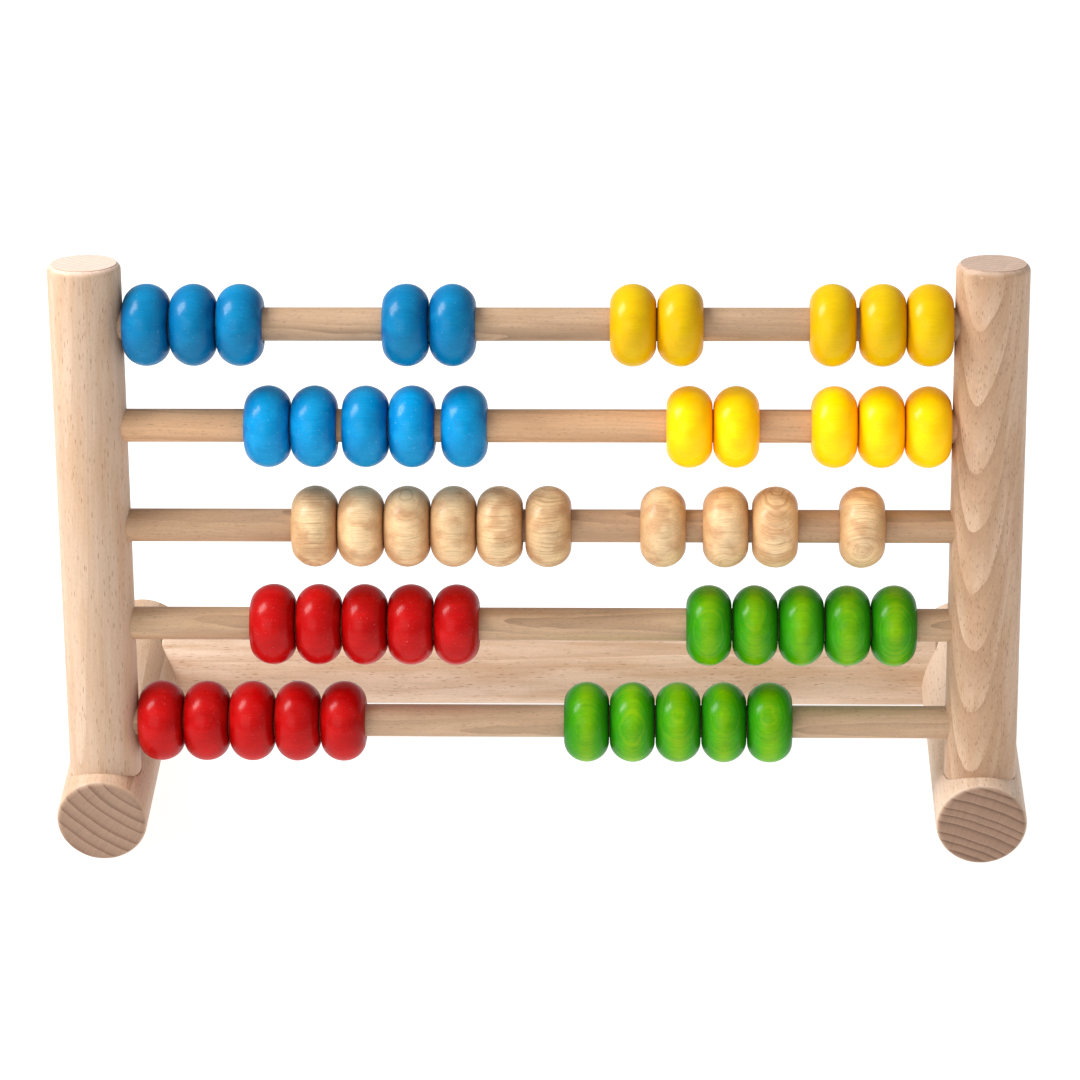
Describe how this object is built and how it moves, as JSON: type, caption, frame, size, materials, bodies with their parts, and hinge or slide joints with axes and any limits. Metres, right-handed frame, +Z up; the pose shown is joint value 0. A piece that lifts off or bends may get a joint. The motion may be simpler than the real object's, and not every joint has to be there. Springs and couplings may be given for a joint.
{
  "type": "abacus",
  "caption": "Free-standing wooden counting frame: two leaning posts on two feet, a rear rail, and rods with sliding oval beads in coloured groups.",
  "frame": {"origin": "on the standing surface, in the middle of the footprint", "axes": "+X along the rods, to the right as a child in front sees them; +Y from the front to the back; +Z up"},
  "size_m": [0.386, 0.154, 0.2387],
  "materials": {
    "beech_dowel": "satin",
    "beech_foot": "satin",
    "beech_rod": "satin",
    "blue_lacquer": "satin lacquer",
    "yellow_lacquer": "satin lacquer",
    "clear_lacquer": "satin lacquer",
    "red_lacquer": "satin lacquer",
    "green_stain": "satin lacquer"
  },
  "bodies": {
    "frame": {"left_post": "beech_dowel", "right_post": "beech_dowel", "left_foot": "beech_foot", "right_foot": "beech_foot", "rear_rail": "beech_dowel", "row1_rod": "beech_rod", "row2_rod": "beech_rod", "row3_rod": "beech_rod", "row4_rod": "beech_rod", "row5_rod": "beech_rod"},
    "row1_blue_bead_1": {"row1_blue_bead_1": "blue_lacquer"},
    "row1_blue_bead_2": {"row1_blue_bead_2": "blue_lacquer"},
    "row1_blue_bead_3": {"row1_blue_bead_3": "blue_lacquer"},
    "row1_blue_bead_4": {"row1_blue_bead_4": "blue_lacquer"},
    "row1_blue_bead_5": {"row1_blue_bead_5": "blue_lacquer"},
    "row1_yellow_bead_6": {"row1_yellow_bead_6": "yellow_lacquer"},
    "row1_yellow_bead_7": {"row1_yellow_bead_7": "yellow_lacquer"},
    "row1_yellow_bead_8": {"row1_yellow_bead_8": "yellow_lacquer"},
    "row1_yellow_bead_9": {"row1_yellow_bead_9": "yellow_lacquer"},
    "row1_yellow_bead_10": {"row1_yellow_bead_10": "yellow_lacquer"},
    "row2_blue_bead_1": {"row2_blue_bead_1": "blue_lacquer"},
    "row2_blue_bead_2": {"row2_blue_bead_2": "blue_lacquer"},
    "row2_blue_bead_3": {"row2_blue_bead_3": "blue_lacquer"},
    "row2_blue_bead_4": {"row2_blue_bead_4": "blue_lacquer"},
    "row2_blue_bead_5": {"row2_blue_bead_5": "blue_lacquer"},
    "row2_yellow_bead_6": {"row2_yellow_bead_6": "yellow_lacquer"},
    "row2_yellow_bead_7": {"row2_yellow_bead_7": "yellow_lacquer"},
    "row2_yellow_bead_8": {"row2_yellow_bead_8": "yellow_lacquer"},
    "row2_yellow_bead_9": {"row2_yellow_bead_9": "yellow_lacquer"},
    "row2_yellow_bead_10": {"row2_yellow_bead_10": "yellow_lacquer"},
    "row3_natural_bead_1": {"row3_natural_bead_1": "clear_lacquer"},
    "row3_natural_bead_2": {"row3_natural_bead_2": "clear_lacquer"},
    "row3_natural_bead_3": {"row3_natural_bead_3": "clear_lacquer"},
    "row3_natural_bead_4": {"row3_natural_bead_4": "clear_lacquer"},
    "row3_natural_bead_5": {"row3_natural_bead_5": "clear_lacquer"},
    "row3_natural_bead_6": {"row3_natural_bead_6": "clear_lacquer"},
    "row3_natural_bead_7": {"row3_natural_bead_7": "clear_lacquer"},
    "row3_natural_bead_8": {"row3_natural_bead_8": "clear_lacquer"},
    "row3_natural_bead_9": {"row3_natural_bead_9": "clear_lacquer"},
    "row3_natural_bead_10": {"row3_natural_bead_10": "clear_lacquer"},
    "row4_red_bead_1": {"row4_red_bead_1": "red_lacquer"},
    "row4_red_bead_2": {"row4_red_bead_2": "red_lacquer"},
    "row4_red_bead_3": {"row4_red_bead_3": "red_lacquer"},
    "row4_red_bead_4": {"row4_red_bead_4": "red_lacquer"},
    "row4_red_bead_5": {"row4_red_bead_5": "red_lacquer"},
    "row4_green_bead_6": {"row4_green_bead_6": "green_stain"},
    "row4_green_bead_7": {"row4_green_bead_7": "green_stain"},
    "row4_green_bead_8": {"row4_green_bead_8": "green_stain"},
    "row4_green_bead_9": {"row4_green_bead_9": "green_stain"},
    "row4_green_bead_10": {"row4_green_bead_10": "green_stain"},
    "row5_red_bead_1": {"row5_red_bead_1": "red_lacquer"},
    "row5_red_bead_2": {"row5_red_bead_2": "red_lacquer"},
    "row5_red_bead_3": {"row5_red_bead_3": "red_lacquer"},
    "row5_red_bead_4": {"row5_red_bead_4": "red_lacquer"},
    "row5_red_bead_5": {"row5_red_bead_5": "red_lacquer"},
    "row5_green_bead_6": {"row5_green_bead_6": "green_stain"},
    "row5_green_bead_7": {"row5_green_bead_7": "green_stain"},
    "row5_green_bead_8": {"row5_green_bead_8": "green_stain"},
    "row5_green_bead_9": {"row5_green_bead_9": "green_stain"},
    "row5_green_bead_10": {"row5_green_bead_10": "green_stain"}
  },
  "joints": [
    {"name": "row1_blue_bead_1_slide", "type": "slide", "parent": "frame", "child": "row1_blue_bead_1", "axis": [1, 0, 0], "range_m": [0, 0.0459]},
    {"name": "row1_blue_bead_2_slide", "type": "slide", "parent": "frame", "child": "row1_blue_bead_2", "axis": [1, 0, 0], "range_m": [0, 0.0459]},
    {"name": "row1_blue_bead_3_slide", "type": "slide", "parent": "frame", "child": "row1_blue_bead_3", "axis": [1, 0, 0], "range_m": [0, 0.0459]},
    {"name": "row1_blue_bead_4_slide", "type": "slide", "parent": "frame", "child": "row1_blue_bead_4", "axis": [1, 0, 0], "range_m": [-0.0459, 0.0515]},
    {"name": "row1_blue_bead_5_slide", "type": "slide", "parent": "frame", "child": "row1_blue_bead_5", "axis": [1, 0, 0], "range_m": [-0.0459, 0.0515]},
    {"name": "row1_yellow_bead_6_slide", "type": "slide", "parent": "frame", "child": "row1_yellow_bead_6", "axis": [1, 0, 0], "range_m": [-0.0515, 0.0405]},
    {"name": "row1_yellow_bead_7_slide", "type": "slide", "parent": "frame", "child": "row1_yellow_bead_7", "axis": [1, 0, 0], "range_m": [-0.0515, 0.0405]},
    {"name": "row1_yellow_bead_8_slide", "type": "slide", "parent": "frame", "child": "row1_yellow_bead_8", "axis": [1, 0, 0], "range_m": [-0.0405, 0.0002]},
    {"name": "row1_yellow_bead_9_slide", "type": "slide", "parent": "frame", "child": "row1_yellow_bead_9", "axis": [1, 0, 0], "range_m": [-0.0405, 0.0002]},
    {"name": "row1_yellow_bead_10_slide", "type": "slide", "parent": "frame", "child": "row1_yellow_bead_10", "axis": [1, 0, 0], "range_m": [-0.0405, 0.0002]},
    {"name": "row2_blue_bead_1_slide", "type": "slide", "parent": "frame", "child": "row2_blue_bead_1", "axis": [1, 0, 0], "range_m": [-0.0459, 0.0693]},
    {"name": "row2_blue_bead_2_slide", "type": "slide", "parent": "frame", "child": "row2_blue_bead_2", "axis": [1, 0, 0], "range_m": [-0.0459, 0.0693]},
    {"name": "row2_blue_bead_3_slide", "type": "slide", "parent": "frame", "child": "row2_blue_bead_3", "axis": [1, 0, 0], "range_m": [-0.0459, 0.0693]},
    {"name": "row2_blue_bead_4_slide", "type": "slide", "parent": "frame", "child": "row2_blue_bead_4", "axis": [1, 0, 0], "range_m": [-0.0459, 0.0693]},
    {"name": "row2_blue_bead_5_slide", "type": "slide", "parent": "frame", "child": "row2_blue_bead_5", "axis": [1, 0, 0], "range_m": [-0.0459, 0.0693]},
    {"name": "row2_yellow_bead_6_slide", "type": "slide", "parent": "frame", "child": "row2_yellow_bead_6", "axis": [1, 0, 0], "range_m": [-0.0693, 0.0197]},
    {"name": "row2_yellow_bead_7_slide", "type": "slide", "parent": "frame", "child": "row2_yellow_bead_7", "axis": [1, 0, 0], "range_m": [-0.0693, 0.0197]},
    {"name": "row2_yellow_bead_8_slide", "type": "slide", "parent": "frame", "child": "row2_yellow_bead_8", "axis": [1, 0, 0], "range_m": [-0.0197, 0.0001]},
    {"name": "row2_yellow_bead_9_slide", "type": "slide", "parent": "frame", "child": "row2_yellow_bead_9", "axis": [1, 0, 0], "range_m": [-0.0197, 0.0001]},
    {"name": "row2_yellow_bead_10_slide", "type": "slide", "parent": "frame", "child": "row2_yellow_bead_10", "axis": [1, 0, 0], "range_m": [-0.0197, 0.0001]},
    {"name": "row3_natural_bead_1_slide", "type": "slide", "parent": "frame", "child": "row3_natural_bead_1", "axis": [1, 0, 0], "range_m": [-0.0633, 0.0267]},
    {"name": "row3_natural_bead_2_slide", "type": "slide", "parent": "frame", "child": "row3_natural_bead_2", "axis": [1, 0, 0], "range_m": [-0.0633, 0.0267]},
    {"name": "row3_natural_bead_3_slide", "type": "slide", "parent": "frame", "child": "row3_natural_bead_3", "axis": [1, 0, 0], "range_m": [-0.0633, 0.0267]},
    {"name": "row3_natural_bead_4_slide", "type": "slide", "parent": "frame", "child": "row3_natural_bead_4", "axis": [1, 0, 0], "range_m": [-0.0633, 0.0267]},
    {"name": "row3_natural_bead_5_slide", "type": "slide", "parent": "frame", "child": "row3_natural_bead_5", "axis": [1, 0, 0], "range_m": [-0.0633, 0.0267]},
    {"name": "row3_natural_bead_6_slide", "type": "slide", "parent": "frame", "child": "row3_natural_bead_6", "axis": [1, 0, 0], "range_m": [-0.0633, 0.0267]},
    {"name": "row3_natural_bead_7_slide", "type": "slide", "parent": "frame", "child": "row3_natural_bead_7", "axis": [1, 0, 0], "range_m": [-0.0267, 0.0062]},
    {"name": "row3_natural_bead_8_slide", "type": "slide", "parent": "frame", "child": "row3_natural_bead_8", "axis": [1, 0, 0], "range_m": [-0.0062, 0.0158]},
    {"name": "row3_natural_bead_9_slide", "type": "slide", "parent": "frame", "child": "row3_natural_bead_9", "axis": [1, 0, 0], "range_m": [-0.0062, 0.0158]},
    {"name": "row3_natural_bead_10_slide", "type": "slide", "parent": "frame", "child": "row3_natural_bead_10", "axis": [1, 0, 0], "range_m": [-0.0158, 0.025]},
    {"name": "row4_red_bead_1_slide", "type": "slide", "parent": "frame", "child": "row4_red_bead_1", "axis": [1, 0, 0], "range_m": [-0.0457, 0.0814]},
    {"name": "row4_red_bead_2_slide", "type": "slide", "parent": "frame", "child": "row4_red_bead_2", "axis": [1, 0, 0], "range_m": [-0.0457, 0.0814]},
    {"name": "row4_red_bead_3_slide", "type": "slide", "parent": "frame", "child": "row4_red_bead_3", "axis": [1, 0, 0], "range_m": [-0.0457, 0.0814]},
    {"name": "row4_red_bead_4_slide", "type": "slide", "parent": "frame", "child": "row4_red_bead_4", "axis": [1, 0, 0], "range_m": [-0.0457, 0.0814]},
    {"name": "row4_red_bead_5_slide", "type": "slide", "parent": "frame", "child": "row4_red_bead_5", "axis": [1, 0, 0], "range_m": [-0.0457, 0.0814]},
    {"name": "row4_green_bead_6_slide", "type": "slide", "parent": "frame", "child": "row4_green_bead_6", "axis": [1, 0, 0], "range_m": [-0.0814, 0.0119]},
    {"name": "row4_green_bead_7_slide", "type": "slide", "parent": "frame", "child": "row4_green_bead_7", "axis": [1, 0, 0], "range_m": [-0.0814, 0.0119]},
    {"name": "row4_green_bead_8_slide", "type": "slide", "parent": "frame", "child": "row4_green_bead_8", "axis": [1, 0, 0], "range_m": [-0.0814, 0.0119]},
    {"name": "row4_green_bead_9_slide", "type": "slide", "parent": "frame", "child": "row4_green_bead_9", "axis": [1, 0, 0], "range_m": [-0.0814, 0.0119]},
    {"name": "row4_green_bead_10_slide", "type": "slide", "parent": "frame", "child": "row4_green_bead_10", "axis": [1, 0, 0], "range_m": [-0.0814, 0.0119]},
    {"name": "row5_red_bead_1_slide", "type": "slide", "parent": "frame", "child": "row5_red_bead_1", "axis": [1, 0, 0], "range_m": [0, 0.0787]},
    {"name": "row5_red_bead_2_slide", "type": "slide", "parent": "frame", "child": "row5_red_bead_2", "axis": [1, 0, 0], "range_m": [0, 0.0787]},
    {"name": "row5_red_bead_3_slide", "type": "slide", "parent": "frame", "child": "row5_red_bead_3", "axis": [1, 0, 0], "range_m": [0, 0.0787]},
    {"name": "row5_red_bead_4_slide", "type": "slide", "parent": "frame", "child": "row5_red_bead_4", "axis": [1, 0, 0], "range_m": [0, 0.0787]},
    {"name": "row5_red_bead_5_slide", "type": "slide", "parent": "frame", "child": "row5_red_bead_5", "axis": [1, 0, 0], "range_m": [0, 0.0787]},
    {"name": "row5_green_bead_6_slide", "type": "slide", "parent": "frame", "child": "row5_green_bead_6", "axis": [1, 0, 0], "range_m": [-0.0787, 0.0604]},
    {"name": "row5_green_bead_7_slide", "type": "slide", "parent": "frame", "child": "row5_green_bead_7", "axis": [1, 0, 0], "range_m": [-0.0787, 0.0604]},
    {"name": "row5_green_bead_8_slide", "type": "slide", "parent": "frame", "child": "row5_green_bead_8", "axis": [1, 0, 0], "range_m": [-0.0787, 0.0604]},
    {"name": "row5_green_bead_9_slide", "type": "slide", "parent": "frame", "child": "row5_green_bead_9", "axis": [1, 0, 0], "range_m": [-0.0787, 0.0604]},
    {"name": "row5_green_bead_10_slide", "type": "slide", "parent": "frame", "child": "row5_green_bead_10", "axis": [1, 0, 0], "range_m": [-0.0787, 0.0604]}
  ],
  "couplings": [
    {"joint": "row1_blue_bead_2_slide", "follows": "row1_blue_bead_1_slide", "ratio": 1},
    {"joint": "row1_blue_bead_3_slide", "follows": "row1_blue_bead_1_slide", "ratio": 1},
    {"joint": "row1_blue_bead_5_slide", "follows": "row1_blue_bead_4_slide", "ratio": 1},
    {"joint": "row1_yellow_bead_7_slide", "follows": "row1_yellow_bead_6_slide", "ratio": 1},
    {"joint": "row1_yellow_bead_9_slide", "follows": "row1_yellow_bead_8_slide", "ratio": 1},
    {"joint": "row1_yellow_bead_10_slide", "follows": "row1_yellow_bead_8_slide", "ratio": 1},
    {"joint": "row2_blue_bead_2_slide", "follows": "row2_blue_bead_1_slide", "ratio": 1},
    {"joint": "row2_blue_bead_3_slide", "follows": "row2_blue_bead_1_slide", "ratio": 1},
    {"joint": "row2_blue_bead_4_slide", "follows": "row2_blue_bead_1_slide", "ratio": 1},
    {"joint": "row2_blue_bead_5_slide", "follows": "row2_blue_bead_1_slide", "ratio": 1},
    {"joint": "row2_yellow_bead_7_slide", "follows": "row2_yellow_bead_6_slide", "ratio": 1},
    {"joint": "row2_yellow_bead_9_slide", "follows": "row2_yellow_bead_8_slide", "ratio": 1},
    {"joint": "row2_yellow_bead_10_slide", "follows": "row2_yellow_bead_8_slide", "ratio": 1},
    {"joint": "row3_natural_bead_2_slide", "follows": "row3_natural_bead_1_slide", "ratio": 1},
    {"joint": "row3_natural_bead_3_slide", "follows": "row3_natural_bead_1_slide", "ratio": 1},
    {"joint": "row3_natural_bead_4_slide", "follows": "row3_natural_bead_1_slide", "ratio": 1},
    {"joint": "row3_natural_bead_5_slide", "follows": "row3_natural_bead_1_slide", "ratio": 1},
    {"joint": "row3_natural_bead_6_slide", "follows": "row3_natural_bead_1_slide", "ratio": 1},
    {"joint": "row3_natural_bead_9_slide", "follows": "row3_natural_bead_8_slide", "ratio": 1},
    {"joint": "row4_red_bead_2_slide", "follows": "row4_red_bead_1_slide", "ratio": 1},
    {"joint": "row4_red_bead_3_slide", "follows": "row4_red_bead_1_slide", "ratio": 1},
    {"joint": "row4_red_bead_4_slide", "follows": "row4_red_bead_1_slide", "ratio": 1},
    {"joint": "row4_red_bead_5_slide", "follows": "row4_red_bead_1_slide", "ratio": 1},
    {"joint": "row4_green_bead_7_slide", "follows": "row4_green_bead_6_slide", "ratio": 1},
    {"joint": "row4_green_bead_8_slide", "follows": "row4_green_bead_6_slide", "ratio": 1},
    {"joint": "row4_green_bead_9_slide", "follows": "row4_green_bead_6_slide", "ratio": 1},
    {"joint": "row4_green_bead_10_slide", "follows": "row4_green_bead_6_slide", "ratio": 1},
    {"joint": "row5_red_bead_2_slide", "follows": "row5_red_bead_1_slide", "ratio": 1},
    {"joint": "row5_red_bead_3_slide", "follows": "row5_red_bead_1_slide", "ratio": 1},
    {"joint": "row5_red_bead_4_slide", "follows": "row5_red_bead_1_slide", "ratio": 1},
    {"joint": "row5_red_bead_5_slide", "follows": "row5_red_bead_1_slide", "ratio": 1},
    {"joint": "row5_green_bead_7_slide", "follows": "row5_green_bead_6_slide", "ratio": 1},
    {"joint": "row5_green_bead_8_slide", "follows": "row5_green_bead_6_slide", "ratio": 1},
    {"joint": "row5_green_bead_9_slide", "follows": "row5_green_bead_6_slide", "ratio": 1},
    {"joint": "row5_green_bead_10_slide", "follows": "row5_green_bead_6_slide", "ratio": 1}
  ]
}
